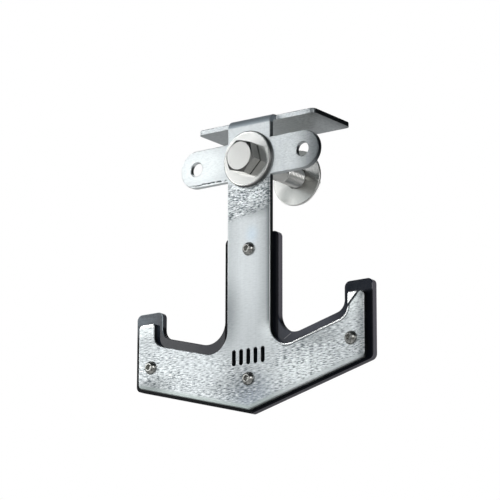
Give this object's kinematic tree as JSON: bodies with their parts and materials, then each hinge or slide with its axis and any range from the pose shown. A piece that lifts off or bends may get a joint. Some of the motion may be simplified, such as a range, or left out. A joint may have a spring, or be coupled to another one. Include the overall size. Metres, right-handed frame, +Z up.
{
  "type": "barbell storage hook",
  "caption": "Bent steel anchor-shaped plate with a black plastic liner and two sloped saddles for bars, clamped to a square rig beam by a through bolt, a cross arm and a top flange.",
  "frame": {"origin": "axis of the beam bolt, midway between the two arm holes, on the plane where the steel lies on the beam", "axes": "+X along the beam to the right seen from the front, +Y from the hook into the beam, +Z up"},
  "size_m": [0.22, 0.1, 0.2325],
  "materials": {
    "zinc_plate": "bright zinc plating, mottled",
    "black_plastic": "black polyethylene, sawn and milled edges",
    "zinc_fastener": "satin zinc",
    "screw_steel": "plain stainless",
    "nylon": "nylon"
  },
  "bodies": {
    "root": {"hook_plate": "zinc_plate", "liner": "black_plastic", "beam_bolt": "zinc_fastener", "front_washer": "zinc_fastener", "rear_washer": "zinc_fastener", "beam_nut": "zinc_fastener", "beam_nut_ring": "nylon", "liner_screw_top": "screw_steel", "liner_washer_top": "zinc_fastener", "liner_nut_top": "zinc_fastener", "liner_nut_ring_top": "nylon", "liner_screw_bottom": "screw_steel", "liner_washer_bottom": "zinc_fastener", "liner_nut_bottom": "zinc_fastener", "liner_nut_ring_bottom": "nylon", "liner_screw_left": "screw_steel", "liner_washer_left": "zinc_fastener", "liner_nut_left": "zinc_fastener", "liner_nut_ring_left": "nylon", "liner_screw_right": "screw_steel", "liner_washer_right": "zinc_fastener", "liner_nut_right": "zinc_fastener", "liner_nut_ring_right": "nylon"}
  },
  "joints": []
}
